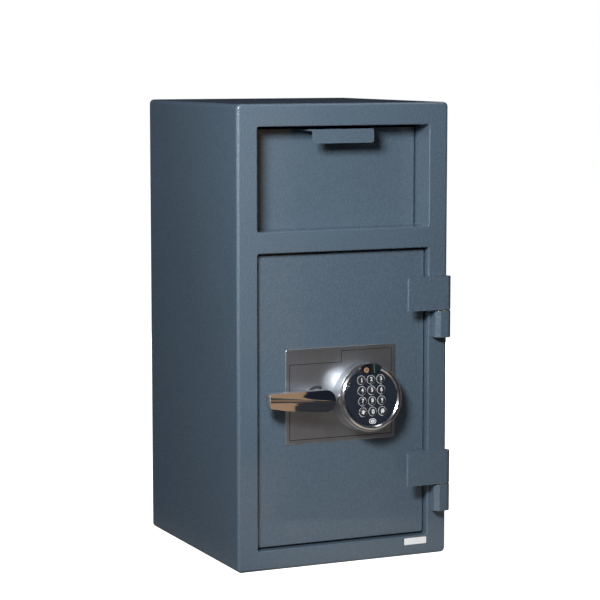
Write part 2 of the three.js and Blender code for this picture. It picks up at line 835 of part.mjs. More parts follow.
function leverHandle() {
  const endX = handleX - leverLength;
  const tipX = endX + leverTipCorner;
  const tipZ = handleZ + leverTipRise;
  const tipTop = tipZ + leverTipHeight / 2;
  const tipBottom = tipZ - leverTipHeight / 2;
  const reach = handleX - tipX;
  const [topPullShare, bottomPullShare, bellyShare] = [0.5, 0.6, 0.8];
  const outline = new THREE.Shape();
  outline.absarc(handleX, handleZ, leverHubRadius, -Math.PI / 2, Math.PI / 2, false);
  outline.quadraticCurveTo(handleX - reach * topPullShare, handleZ + leverHubRadius, tipX, tipTop);
  outline.absarc(tipX, tipTop - leverTipCorner, leverTipCorner, Math.PI / 2, Math.PI, false);
  outline.absarc(tipX, tipBottom + leverTipCorner, leverTipCorner, Math.PI, 1.5 * Math.PI, false);
  outline.quadraticCurveTo(
    handleX - reach * bottomPullShare,
    handleZ - leverHubRadius * bellyShare,
    handleX,
    handleZ - leverHubRadius,
  );
  const arm = new THREE.ExtrudeGeometry(outline, {
    depth: leverThickness - 2 * leverEdgeRadius,
    bevelThickness: leverEdgeRadius,
    bevelSize: leverEdgeRadius,
    bevelOffset: -leverEdgeRadius,
    bevelSegments: cornerFacets - 1,
    curveSegments: coarseFacets / 2,
  });
  const leverBackY = escutcheonFaceY - leverStandoff + leverThickness / 2;
  const leverFrontY = leverBackY - leverThickness;
  arm.applyMatrix4(outlineToFront).translate(0, leverBackY - leverEdgeRadius, 0);
  const neckBackY = escutcheonFaceY - seatGap;
  const neck = rodY(handleX, handleZ, neckRadius, leverBackY - leverEdgeRadius, neckBackY);
  const ridgeSides = [ridgeCutter(1, leverFrontY), ridgeCutter(-1, leverFrontY)];
  return worked(arm, { add: [neck], cut: ridgeSides });
}

function handleSpindle() {
  return rodY(handleX, handleZ, spindleRadius, escutcheonFaceY - seatGap, crankBackY);
}

function driveCrank() {
  const side = handleTurn / 2;
  const outline = new THREE.Shape();
  outline.absarc(handleX, handleZ, crankHubRadius, Math.PI - side, 2 * Math.PI - side, false);
  outline.absarc(crankPinX, crankPinZ, crankEndRadius, -side, Math.PI - side, false);
  outline.holes.push(circle(handleX, handleZ, spindleRadius + seatGap));
  return alongY(outline, crankFrontY, crankBackY);
}

function crankPin() {
  return rodY(crankPinX, crankPinZ, crankPinRadius, crankBackY, carriageBackY + crankPinOverhang);
}

// Carriage: the bar and slotted plate that draw the three bolts, and the bolts

function boltCarriage() {
  const plateY = [carriageFrontY, carriageBackY];
  const barZ = [boltHeights[0] - carriageBarOverhang, boltHeights[2] + carriageBarOverhang];
  const barY = [boltY - carriageBarDepth / 2, boltY + carriageBarDepth / 2];
  const bar = block([boltEndX, carriageBarX], barY, barZ);
  const plateX = carriageBarX - carriageBarWidth / 2;
  const tabLeft = lockBoltX[0] - blockerTabPlay - blockerTabWidth + boltThrow;
  const slotRadius = crankPinRadius + crankSlotPlay;
  const crankTopZ = handleZ + crankRadius;
  const upperArmTop = upperArmBottom + guideArmHeight;
  const lowerArmBottom = lowerArmZ - guideArmHeight / 2;
  const spine = block([plateX, carriageBarX + carriageSpineWidth], plateY, [lowerArmBottom, upperArmTop]);
  const lowerArm = block(
    [plateX, carriageBarX + lowerArmLength],
    plateY,
    [lowerArmBottom, lowerArmBottom + guideArmHeight],
  );
  const driveArm = block(
    [plateX, crankPinX + slotRadius + carriageSpineWidth],
    plateY,
    [crankPinZ - slotRadius - carriagePlateThickness, crankTopZ + slotRadius + carriagePlateThickness],
  );
  const upperArm = block([plateX, tabLeft + blockerTabWidth], plateY, [upperArmBottom, upperArmTop]);
  const tab = block(
    [tabLeft, tabLeft + blockerTabWidth],
    plateY,
    [lockCaseTop + blockerTabLift, upperArmTop],
  );
  const guideSlots = [upperArmZ, lowerArmZ].map((z) => {
    const slot = levelSlot(guideStudX, guideStudX + boltThrow, z, guideStudRadius + guideSlotPlay);
    return alongY(slot, carriageFrontY - cutOverrun, carriageBackY + cutOverrun, coarseFacets);
  });
  const crankSlot = uprightSlot(crankPinX, crankPinZ, crankTopZ, slotRadius);
  return worked(bar, {
    add: [spine, lowerArm, driveArm, upperArm, tab],
    cut: [
      ...guideSlots,
      alongY(crankSlot, carriageFrontY - cutOverrun, carriageBackY + cutOverrun, coarseFacets),
    ],
  });
}

function lockingBolt(z) {
  const profile = [
    [0, 0],
    [boltRadius, 0],
    [boltRadius, boltLength - boltTipChamfer],
    [boltRadius - boltTipChamfer, boltLength],
    [0, boltLength],
  ];
  const points = profile.map(([radius, out]) => new THREE.Vector2(radius, out));
  return new THREE.LatheGeometry(points, plainFacets).rotateZ(Math.PI / 2).translate(boltEndX, boltY, z);
}

// Keypad, modelled about the middle of its face, which leans back at the top

const faceOrigin = [0, 0, 0];

function windowOutline(grow) {
  const shape = new THREE.Shape();
  shape.absellipse(0, windowRise, windowWidth / 2 + grow, windowHeight / 2 + grow, 0, 2 * Math.PI, false, 0);
  return shape;
}

function keypadBezel() {
  const ease = bezelRound * bezelEaseShare;
  const profile = [
    [bezelInnerRadius, -bezelHeight],
    [bezelRadius, -bezelHeight],
    [bezelRadius, -bezelRound],
    [bezelRadius - ease, -ease],
    [bezelRadius - bezelRound, 0],
    [bezelInnerRadius + ease, 0],
    [bezelInnerRadius, -ease],
    [bezelInnerRadius, -bezelHeight],
  ];
  const ring = turnedToFront(profile, ...faceOrigin, fineFacets);
  const gap = alongY(windowOutline(seatGap), -cutOverrun, bezelHeight + cutOverrun);
  return worked(ring, { cut: [gap] });
}

const faceFrontY = faceRecess;
const faceBackY = bezelHeight;

const keyNames = [
  ['key_1', 'key_2', 'key_3'],
  ['key_4', 'key_5', 'key_6'],
  ['key_7', 'key_8', 'key_9'],
  ['key_star', 'key_0', 'key_hash'],
];
const middleRow = (keyNames.length - 1) / 2;
const middleColumn = (keyNames[0].length - 1) / 2;

function keyPlace(row, column) {
  return [keyColumnOffset + (column - middleColumn) * keyPitch, keyRise + (middleRow - row) * keyPitch];
}

function keypadFace() {
  const outline = circle(0, 0, bezelInnerRadius - seatGap);
  keyNames.forEach((names, row) => {
    names.forEach((name, column) => {
      outline.holes.push(circle(...keyPlace(row, column), keyRadius + runningGap));
    });
  });
  const disc = alongY(outline, faceFrontY, faceBackY, coarseFacets);
  return worked(disc, { cut: [alongY(windowOutline(seatGap), -cutOverrun, bezelHeight + cutOverrun)] });
}

function keypadWindow() {
  return alongY(windowOutline(0), -windowProud, bezelHeight);
}

function keypadKey(row, column) {
  const [x, z] = keyPlace(row, column);
  const profile = [
    [0, keyProud - keyDepth],
    [keyRadius, keyProud - keyDepth],
    [keyRadius, keyProud - keyCrown],
    [keyRadius - keyCrownInset, keyProud],
    [0, keyProud],
  ];
  return turnedToFront(profile, x, faceFrontY, z, coarseFacets);
}

// The housing is a hollow drum, cut square where it stands on the escutcheon, so that it is a wedge
function keypadHousing(toPart) {
  const front = bezelHeight + seatGap;
  const deep = keypadStandoff + housingRadius;
  const drum = rodY(0, 0, housingRadius, front, deep, fineFacets);
  drum.applyMatrix4(toPart);
  const hollow = rodY(0, 0, housingRadius - housingWall, front + housingWall, deep + cutOverrun, fineFacets);
  hollow.applyMatrix4(toPart);
  const reach = 2 * bezelRadius;
  const behind = block(
    [keypadX - reach, keypadX + reach],
    [escutcheonFaceY - seatGap, escutcheonFaceY + reach],
    [keypadZ - reach, keypadZ + reach],
  );
  const housing = worked(drum, { cut: [hollow, behind] });
  return housing.applyMatrix4(toPart.clone().invert());
}

// Hopper: the panel with its pull, and the tray and cheeks of the bucket behind it

function hopperPanel() {
  const x = [-hopperHalfWidth, hopperHalfWidth];
  return block(x, [hopperFaceY, hopperPanelBackY], [hopperBottom, hopperTop]);
}

function hopperPull() {
  const lipY = frontY + pullSetback;
  const x = [-pullWidth / 2, pullWidth / 2];
  const flangeOutline = polygon([
    [x[0], lipY + pullThickness / 2],
    [x[1], lipY + pullThickness / 2],
    [x[1] + pullFlare, hopperFaceY],
    [x[0] - pullFlare, hopperFaceY],
  ]);
  const flange = alongZ(flangeOutline, hopperTop - pullThickness, hopperTop);
  const lip = roundedRectangle(x, [hopperTop - pullDrop, hopperTop], pullCornerRadius);
  return worked(alongY(lip, lipY, lipY + pullThickness, coarseFacets), { add: [flange] });
}

// The tray slopes back from the panel and passes just under the pivot rod. These are the ends
// of its upper side, and its lower side lies a given distance square below them.
function trayLine(below) {
  const run = [Math.cos(traySlope), -Math.sin(traySlope)];
  const square = [Math.sin(traySlope), Math.cos(traySlope)];
  const drop = pivotRodRadius + 2 * seatGap + below;
  const nearest = [hopperPivotY - square[0] * drop, hopperPivotZ - square[1] * drop];
  const toPanel = (hopperPanelBackY - nearest[0]) / run[0];
  const toEnd = trayLength;
  return [toPanel, toEnd].map((length) => [nearest[0] + run[0] * length, nearest[1] + run[1] * length]);
}

function hopperTray() {
  const [upperFoot, upperEnd] = trayLine(0);
  const [lowerFoot, lowerEnd] = trayLine(hopperSheet);
  const halfWidth = cheekHalfWidth - hopperSheet;
  return alongX(polygon([lowerFoot, lowerEnd, upperEnd, upperFoot]), -halfWidth, halfWidth);
}

function hopperCheek(side) {
  const [foot, end] = trayLine(hopperSheet);
  const stopAngle = Math.atan2(hopperOpeningTop - hopperPivotZ, surroundBackY - hopperPivotY);
  const lugStart = stopAngle - hopperOpenAngle - stopLugRelief;
  const outline = new THREE.Shape();
  outline.moveTo(...foot);
  outline.lineTo(...end);
  outline.absarc(hopperPivotY, hopperPivotZ, cheekRadius, -traySlope, lugStart - stopLugSpan, false);
  outline.absarc(hopperPivotY, hopperPivotZ, stopLugRadius, lugStart - stopLugSpan, lugStart, false);
  outline.absarc(hopperPivotY, hopperPivotZ, cheekRadius, lugStart, Math.PI / 2, false);
  outline.lineTo(hopperPanelBackY, hopperPivotZ + cheekRadius);
  outline.holes.push(circle(hopperPivotY, hopperPivotZ, pivotRodRadius + seatGap));
  const [inner, outer] = [cheekHalfWidth - hopperSheet, cheekHalfWidth];
  return side < 0 ? alongX(outline, -outer, -inner) : alongX(outline, inner, outer);
}

// Assembly

const safe = new THREE.Group();
safe.name = 'drop_safe';
safe.userData.origin = new THREE.Vector3(0, 0, 0);

addPiece(safe, 'body_wrap', bodyWrap(), paint);
addPiece(safe, 'back_panel', backPanel(), paint);
addPiece(safe, 'front_frame', frontFrame(), paint);
addPiece(safe, 'hopper_surround', hopperSurround(), paint);
addPiece(safe, 'door_jamb', doorJamb(), paint);
addPiece(safe, 'chute_side_left', chuteSide(-1), innerPaint);
addPiece(safe, 'chute_side_right', chuteSide(1), innerPaint);
addPiece(safe, 'hopper_pivot_rod', hopperPivotRod(), plainSteel);
addPiece(safe, 'anti_fish_baffle', antiFishBaffle(), innerPaint);

const door = jointGroup(safe, pinX, pinY, 0);
const hinges = [
  ['upper', upperBlockBottom],
  ['lower', lowerBlockBottom],
];
for (const [name, blockBottom] of hinges) {
  addPiece(safe, `hinge_knuckle_${name}`, hingeKnuckle(blockBottom - washerThickness), paint);
  addPiece(safe, `hinge_pin_${name}`, hingePin(blockBottom), plainSteel);
  addPiece(safe, `hinge_washer_${name}`, hingeWasher(blockBottom), brass);
  addPiece(door, `hinge_block_${name}`, hingeBlock(blockBottom), paint);
}

addPiece(door, 'door_plate', doorPlate(), paint);
addPiece(door, 'spindle_bushing', spindleBushing(), brass);
addPiece(door, 'hard_plate', hardPlate(), plainSteel);
addPiece(door, 'escutcheon_plate', escutcheonPlate(), brushedSteel);
addPiece(door, 'handle_rosette', handleRosette(), chrome);
addPiece(door, 'dead_bar', deadBar(), plainSteel);
addPiece(door, 'boltwork_frame', boltworkFrame(), innerPaint);
addPiece(door, 'inner_cover', innerCover(), innerPaint);
addPiece(door, 'lock_case', lockCase(), plainSteel);
addPiece(door, 'guide_stud_upper', guideStud(upperArmZ), plainSteel);
addPiece(door, 'guide_stud_lower', guideStud(lowerArmZ), plainSteel);

const handle = jointGroup(door, handleX, escutcheonFaceY, handleZ);
addPiece(handle, 'lever_handle', leverHandle(), chrome);
addPiece(handle, 'handle_spindle', handleSpindle(), plainSteel);
addPiece(handle, 'drive_crank', driveCrank(), plainSteel);
addPiece(handle, 'crank_pin', crankPin(), plainSteel);

const carriage = jointGroup(door, boltEndX, boltY, handleZ);
addPiece(carriage, 'bolt_carriage', boltCarriage(), plainSteel);
const boltNames = ['lower', 'middle', 'upper'];
boltHeights.forEach((z, index) => {
  addPiece(carriage, `locking_bolt_${boltNames[index]}`, lockingBolt(z), chrome);
});

const lockSlide = jointGroup(door, keypadX, hardPlateBackY, lockCaseTop);
addPiece(lockSlide, 'lock_case_bolt', lockCaseBolt(), brass);

const keypad = jointGroup(door, keypadX, escutcheonFaceY - keypadStandoff, keypadZ);
keypad.rotation.x = -keypadTilt;
const keypadToPart = new THREE.Matrix4()
  .makeTranslation(keypadX, escutcheonFaceY - keypadStandoff, keypadZ)
  .multiply(new THREE.Matrix4().makeRotationX(-keypadTilt));
keypad.userData.origin.set(...faceOrigin);
addPiece(keypad, 'keypad_housing', keypadHousing(keypadToPart), blackPlastic);
addPiece(keypad, 'keypad_bezel', keypadBezel(), chrome);
addPiece(keypad, 'keypad_face', keypadFace(), blackPlastic);
addPiece(keypad, 'keypad_window', keypadWindow(), darkGloss);
keyNames.forEach((names, row) => {
  names.forEach((name, column) => {
    addPiece(keypad, name, keypadKey(row, column), keyPlastic);
  });
});

const hopper = jointGroup(safe, 0, hopperPivotY, hopperPivotZ);
addPiece(hopper, 'hopper_panel', hopperPanel(), paint);
addPiece(hopper, 'hopper_pull', hopperPull(), paint);
addPiece(hopper, 'hopper_tray', hopperTray(), innerPaint);
addPiece(hopper, 'hopper_cheek_left', hopperCheek(-1), innerPaint);
addPiece(hopper, 'hopper_cheek_right', hopperCheek(1), innerPaint);

safe.updateMatrixWorld(true);

export default safe;
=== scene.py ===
# %% [markdown]
# # Dressing a drop safe
# The CAD model is a fixed frame: every plate, bolt and key already has its size and its place.
# This notebook gives it its looks: paint with an orange peel texture, chrome, brushed steel,
# brass and glossy plastic, and the small shapes that a CAD solid leaves out. Lengths are in
# metres, so `MM` turns the millimetres that a maker thinks in into Blender's unit.

# %% Load the frame
import json
import math

import bmesh
import bpy
from mathutils import Matrix, Vector

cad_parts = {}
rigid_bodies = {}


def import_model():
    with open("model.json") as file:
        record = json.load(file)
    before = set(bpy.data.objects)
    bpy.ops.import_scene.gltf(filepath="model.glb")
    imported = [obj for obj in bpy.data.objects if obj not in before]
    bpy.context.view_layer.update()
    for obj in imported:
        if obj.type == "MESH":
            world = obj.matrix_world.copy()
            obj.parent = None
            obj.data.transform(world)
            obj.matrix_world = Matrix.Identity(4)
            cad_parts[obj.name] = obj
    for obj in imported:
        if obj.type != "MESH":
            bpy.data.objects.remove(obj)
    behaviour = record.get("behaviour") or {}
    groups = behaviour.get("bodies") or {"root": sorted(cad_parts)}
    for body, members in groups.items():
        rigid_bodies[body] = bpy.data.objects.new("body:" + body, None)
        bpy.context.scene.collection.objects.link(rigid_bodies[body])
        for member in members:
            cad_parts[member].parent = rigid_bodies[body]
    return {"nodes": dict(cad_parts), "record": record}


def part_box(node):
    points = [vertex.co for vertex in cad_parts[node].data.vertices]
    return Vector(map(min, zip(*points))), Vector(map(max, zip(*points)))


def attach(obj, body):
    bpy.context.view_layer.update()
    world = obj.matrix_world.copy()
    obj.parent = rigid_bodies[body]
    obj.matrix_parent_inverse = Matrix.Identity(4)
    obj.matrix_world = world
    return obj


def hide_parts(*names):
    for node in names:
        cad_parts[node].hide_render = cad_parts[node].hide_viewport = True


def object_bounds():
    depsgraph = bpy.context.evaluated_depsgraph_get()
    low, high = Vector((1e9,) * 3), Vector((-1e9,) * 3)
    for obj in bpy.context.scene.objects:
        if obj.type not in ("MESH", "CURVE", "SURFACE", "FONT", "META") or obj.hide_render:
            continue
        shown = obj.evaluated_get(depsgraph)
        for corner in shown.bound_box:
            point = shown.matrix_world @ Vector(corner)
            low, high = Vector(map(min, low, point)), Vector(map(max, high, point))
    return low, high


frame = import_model()
cad_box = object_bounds()
cad = frame["nodes"]
MM = 0.001

# %% [markdown]
# ## The camera
# The camera stands where the photographer stood: to the left of the safe and a little above its
# middle, three metres away. At that distance a long lens is needed to fill the picture, and it
# keeps the upright edges nearly parallel.

# %% Camera
camera_spot = Vector((-1.3881, -3.0483, 0.7643))
camera_yaw, camera_pitch = math.radians(24.608), math.radians(-6.508)
focal_pixels, photo_pixels = 2147.4, 600

looking = Vector((
    math.sin(camera_yaw) * math.cos(camera_pitch),
    math.cos(camera_yaw) * math.cos(camera_pitch),
    math.sin(camera_pitch),
))
camera = bpy.data.objects.new("camera", bpy.data.cameras.new("camera"))
bpy.context.scene.collection.objects.link(camera)
camera.data.sensor_width = 36
camera.data.lens = focal_pixels * camera.data.sensor_width / photo_pixels
camera.data.clip_start = 0.05
turn = looking.to_track_quat("-Z", "Y").to_matrix().to_4x4()
camera.matrix_world = Matrix.Translation(camera_spot) @ turn
bpy.context.scene.camera = camera
print(f"lens {camera.data.lens:.1f} mm")

# %% [markdown]
# ## Shader maths as plain expressions
# Blender's material nodes are boxes and wires. Wiring them by hand in code hides the idea, so
# `Reading` wraps one socket that carries a number, and ordinary arithmetic on it adds the Math
# nodes. `Finish` is one material: its method `node` makes any other node from its type, its
# settings and what its sockets are given.

# %% A number that varies over a surface
class Reading:
    def __init__(self, finish, socket):
        self.finish, self.socket = finish, socket

    def math(self, operation, *terms):
        settings = {"operation": operation}
        sockets = dict(enumerate(terms))
        return Reading(self.finish, self.finish.node("ShaderNodeMath", settings, sockets))

    def root(self):
        return self.math("SQRT", self)

    def __add__(self, other):
        return self.math("ADD", self, other)

    def __sub__(self, other):
        return self.math("SUBTRACT", self, other)

    def __rsub__(self, other):
        return self.math("SUBTRACT", other, self)

    def __mul__(self, other):
        return self.math("MULTIPLY", self, other)

    def __abs__(self):
        return self.math("ABSOLUTE", self)

    def rising(self, low, high):
        """0 below low and 1 above high, with a soft step between them."""
        settings = {"interpolation_type": "SMOOTHSTEP"}
        sockets = {"Value": self, "From Min": low, "From Max": high}
        return Reading(self.finish, self.finish.node("ShaderNodeMapRange", settings, sockets))

    __radd__ = __add__
    __rmul__ = __mul__


# %% Nodes in a tree, and a material made of them
class Nodes:
    def __init__(self, tree):
        self.tree = tree

    def feed(self, socket, value):
        if isinstance(value, Reading):
            value = value.socket
        if isinstance(value, bpy.types.NodeSocket):
            self.tree.links.new(value, socket)
        elif isinstance(value, tuple) and socket.type == "RGBA":
            socket.default_value = (*value, 1)
        else:
            socket.default_value = value

    def node(self, kind, settings=None, sockets=None, output=0):
        made = self.tree.nodes.new(kind)
        for setting, value in (settings or {}).items():
            setattr(made, setting, value)
        for name, value in (sockets or {}).items():
            self.feed(made.inputs[name], value)
        return made.outputs[output]

    def blend(self, amount, first, second):
        """A colour from first to second, as amount goes from 0 to 1."""
        return self.node("ShaderNodeMix", {"data_type": "RGBA"}, {0: amount, 6: first, 7: second}, output=2)

    def parts(self, vector):
        """The x, y and z of a vector, each as a number."""
        split = self.node("ShaderNodeSeparateXYZ", sockets={"Vector": vector}).node
        return [Reading(self, socket) for socket in split.outputs]


class Finish(Nodes):
    def __init__(self, name, **constants):
        self.material = bpy.data.materials.new(name)
        self.material.use_nodes = True
        super().__init__(self.material.node_tree)
        self.shader = self.tree.nodes["Principled BSDF"]
        for socket, value in constants.items():
            self.shader.inputs[socket.replace("_", " ")].default_value = value
        self.place = self.node("ShaderNodeTexCoord", output="Object")

    def noise(self, size, detail=2.0, stretch=(1, 1, 1)):
        """Cloudy noise in blobs of about size metres, longer along an axis whose stretch is above 1."""
        scale = tuple(1 / s for s in stretch)
        place = self.node("ShaderNodeMapping", sockets={"Vector": self.place, "Scale": scale})
        sockets = {"Vector": place, "Scale": 1 / size, "Detail": detail}
        return Reading(self, self.node("ShaderNodeTexNoise", sockets=sockets))

    def bumps(self, height, depth):
        """Relief on the surface: height runs from 0 to 1 and depth is in metres."""
        bump = self.node("ShaderNodeBump", sockets={"Height": height, "Distance": depth, "Strength": 1.0})
        self.feed(self.shader.inputs["Normal"], bump)

    def set(self, **varying):
        for socket, value in varying.items():
            self.feed(self.shader.inputs[socket.replace("_", " ")], value)


# %% [markdown]
# ## The paint
# Safes are sprayed with a textured enamel. It dries into a fine, even pebble of about 2 to 3 mm,
# called orange peel, which scatters the light and hides the sheet's small waves. Two sizes of
# noise give the relief. The colour is a blue-grey with a painted sheen: the pebbles' tops are
# painted a trace lighter, and a large, faint cloud keeps broad faces from looking computed.

# %% Paint
def textured_paint(name, valley, top, pebble, relief, sheen):
    """Paint coloured valley to top, in pebbles of pebble metres that stand relief metres high; the lighter
    top colour is a painted sheen.
    """
    paint = Finish(name, Metallic=0.0, IOR=1.5, Coat_Weight=0.8, Coat_Roughness=0.06)
    pebbles = paint.noise(pebble, detail=1.5)
    grit = paint.noise(pebble / 3.4, detail=1.0)
    cloud = paint.noise(160 * MM, detail=2.0)
    valley_floor, pebble_top = 0.32, 0.7
    height = pebbles.rising(valley_floor, pebble_top) * 0.8 + grit * 0.2
    # The lighter colour on the pebbles' tops is a painted sheen; the cloud adds random tone.
    shade = height * 0.7 + cloud * 0.3
    paint.set(
        Base_Color=paint.blend(shade, valley, top),
        Roughness=sheen + cloud * 0.06 - height * 0.07,
    )
    paint.bumps(height, relief)
    return paint.material


body_paint = textured_paint(
    "body_paint", valley=(0.067, 0.102, 0.140), top=(0.098, 0.141, 0.184),
    pebble=2.7 * MM, relief=0.3 * MM, sheen=0.42)
inner_paint = textured_paint(
    "inner_paint", valley=(0.050, 0.080, 0.118), top=(0.070, 0.105, 0.148),
    pebble=3.4 * MM, relief=0.14 * MM, sheen=0.5)
print("paints:", body_paint.name, inner_paint.name)

# %% [markdown]
# ## Metals
# Bare steel, stainless, chrome and brass share one recipe. The metal itself is a constant. What
# tells them apart is how the surface was worked: long thin scratches for a brushed sheet, a
# finer cross grain for machined bar, and only a breath of haze on chrome. The scratches come
# from noise that is stretched along the direction of the work.

# %% Metals
def worked_metal(name, dark, light, roughness, haze, grain, relief, stretch):
    """Metal with scratches grain metres wide and relief metres deep, stretched along the work."""
    metal = Finish(name, Metallic=1.0)
    scratches = metal.noise(grain, detail=3.0, stretch=stretch)
    smear = metal.noise(22 * MM, detail=2.0)
    metal.set(
        Base_Color=metal.blend(scratches * 0.5 + smear * 0.5, dark, light),
        Roughness=roughness + haze * (smear * 0.6 + scratches * 0.4),
    )
    metal.bumps(scratches, relief)
    return metal.material


brushed_plate = worked_metal(
    "brushed_plate", dark=(0.41, 0.445, 0.49), light=(0.60, 0.64, 0.69),
    roughness=0.35, haze=0.1, grain=0.5 * MM, relief=0.012 * MM, stretch=(1, 1, 50))
drum_satin = worked_metal(
    "drum_satin", dark=(0.50, 0.51, 0.53), light=(0.60, 0.61, 0.63),
    roughness=0.3, haze=0.08, grain=0.5 * MM, relief=0.002 * MM, stretch=(1, 20, 1))
handle_chrome = worked_metal(
    "handle_chrome", dark=(0.74, 0.74, 0.75), light=(0.82, 0.82, 0.83),
    roughness=0.012, haze=0.02, grain=3 * MM, relief=0.0004 * MM, stretch=(4, 1, 1))
satin_rim = worked_metal(
    "satin_rim", dark=(0.72, 0.72, 0.73), light=(0.82, 0.82, 0.83),
    roughness=0.36, haze=0.08, grain=0.5 * MM, relief=0.003 * MM, stretch=(1, 1, 1))
ring_chrome = worked_metal(
    "ring_chrome", dark=(0.66, 0.68, 0.70), light=(0.76, 0.78, 0.80),
    roughness=0.13, haze=0.06, grain=3 * MM, relief=0.002 * MM, stretch=(1, 1, 1))
bolt_chrome = worked_metal(
    "bolt_chrome", dark=(0.60, 0.60, 0.61), light=(0.72, 0.72, 0.73),
    roughness=0.14, haze=0.1, grain=0.8 * MM, relief=0.006 * MM, stretch=(1, 8, 8))
bare_steel = worked_metal(
    "bare_steel", dark=(0.36, 0.36, 0.37), light=(0.50, 0.50, 0.51),
    roughness=0.3, haze=0.16, grain=0.7 * MM, relief=0.012 * MM, stretch=(1, 1, 14))
washer_brass = worked_metal(
    "washer_brass", dark=(0.62, 0.45, 0.20), light=(0.78, 0.60, 0.30),
    roughness=0.22, haze=0.14, grain=0.6 * MM, relief=0.01 * MM, stretch=(1, 1, 6))
print("metals: brushed plate, two satin steels, three chromes, bare steel, brass")

# %% [markdown]
# ## Plastics, print and glass
# The keypad's face is glossy black plastic with a blue cast, its keys are satin, and their marks
# are pale print. The window over the display is black, dark green on the right with a pale bar;
# on its left lies a painted amber glow, with a painted highlight round its rim.

# %% Plastics, print and glass
def moulded(name, dark, light, roughness, coat, grain, relief):
    """Plastic or print with a texture of grain metres, relief metres deep, under a clear coat."""
    plastic = Finish(name, Metallic=0.0, IOR=1.5, Coat_Weight=coat, Coat_Roughness=0.05)
    texture = plastic.noise(grain, detail=2.0)
    handled = plastic.noise(14 * MM, detail=2.0)
    plastic.set(
        Base_Color=plastic.blend(texture * 0.4 + handled * 0.6, dark, light),
        Roughness=roughness + handled * 0.08,
    )
    plastic.bumps(texture, relief)
    return plastic.material


keypad_black = moulded(
    "keypad_black", dark=(0.011, 0.016, 0.026), light=(0.018, 0.026, 0.040),
    roughness=0.2, coat=0.6, grain=1.2 * MM, relief=0.004 * MM)
key_black = moulded(
    "key_black", dark=(0.012, 0.015, 0.020), light=(0.022, 0.026, 0.033),
    roughness=0.34, coat=0.1, grain=0.5 * MM, relief=0.02 * MM)
pale_print = moulded(
    "pale_print", dark=(0.72, 0.74, 0.75), light=(0.84, 0.86, 0.87),
    roughness=0.42, coat=0.0, grain=0.6 * MM, relief=0.004 * MM)
dark_engraving = moulded(
    "dark_engraving", dark=(0.012, 0.011, 0.012), light=(0.030, 0.028, 0.028),
    roughness=0.6, coat=0.0, grain=0.7 * MM, relief=0.01 * MM)
blank_vinyl = moulded(
    "blank_vinyl", dark=(0.84, 0.87, 0.90), light=(0.90, 0.93, 0.95),
    roughness=0.4, coat=0.1, grain=2.0 * MM, relief=0.01 * MM)

print("plastics: face, keys, print, engraving, label")

# %% Display window
window_low, window_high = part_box("keypad_window")
window_middle_x = (window_low.x + window_high.x) / 2
window_finish = Finish("window_gloss", Metallic=0.0, IOR=1.5, Coat_Weight=1.0, Coat_Roughness=0.03)
from_middle = window_finish.parts(window_finish.place)[0] - window_middle_x
# Painted light on the pane: an amber painted glow left of its middle, with a painted highlight round its
# rim.
glow_middle = (window_middle_x - 7 * MM, window_low.y, (window_low.z + window_high.z) / 2 - 1 * MM)
from_glow_middle = Reading(window_finish, window_finish.node(
    "ShaderNodeVectorMath", {"operation": "DISTANCE"}, {0: window_finish.place, 1: glow_middle}, 1))
painted_glow = 1 - (from_glow_middle + window_finish.noise(3 * MM) * 2.5 * MM).rising(3.2 * MM, 6.2 * MM)
rim = 1 - abs(from_glow_middle - 3.6 * MM).rising(0.4 * MM, 1.4 * MM)
light_bar = 1 - abs(from_middle - 6 * MM).rising(0.5 * MM, 1.3 * MM)
black, dark_green, pale_bar = (0.008, 0.008, 0.010), (0.012, 0.019, 0.020), (0.08, 0.10, 0.10)
painted_glow_amber, painted_highlight_amber = (0.24, 0.115, 0.055), (0.62, 0.44, 0.32)
# The pane's own tint is black, dark green on the right with a pale bar; the painted glow and its painted
# highlight go over it.
tint_and_painted_glow = window_finish.blend(from_middle.rising(-1 * MM, 2 * MM), black, dark_green)
tint_and_painted_glow = window_finish.blend(light_bar, tint_and_painted_glow, pale_bar)
tint_and_painted_glow = window_finish.blend(painted_glow, tint_and_painted_glow, painted_glow_amber)
window_finish.set(
    Base_Color=window_finish.blend(rim * painted_glow, tint_and_painted_glow, painted_highlight_amber),
    Roughness=0.06 + window_finish.noise(5 * MM) * 0.05,
)
window_gloss = window_finish.material
print("window tinted about x =", round(window_middle_x, 4))

# %% [markdown]
# ## Floor, room and lamps
# A plain pale floor fades into a pale room. Most of the light is one softbox, to the left of the
# safe and above it: it lights the front more than the side and puts a short shadow to the lower
# right of whatever stands proud. A tall strip on the left draws fine lines on the bends, and the
# lever mirrors a narrow warm panel. Chrome shows its surroundings, so it needs some that are
# dark: floor and room look pale to the camera, and are dim and toned in reflections.

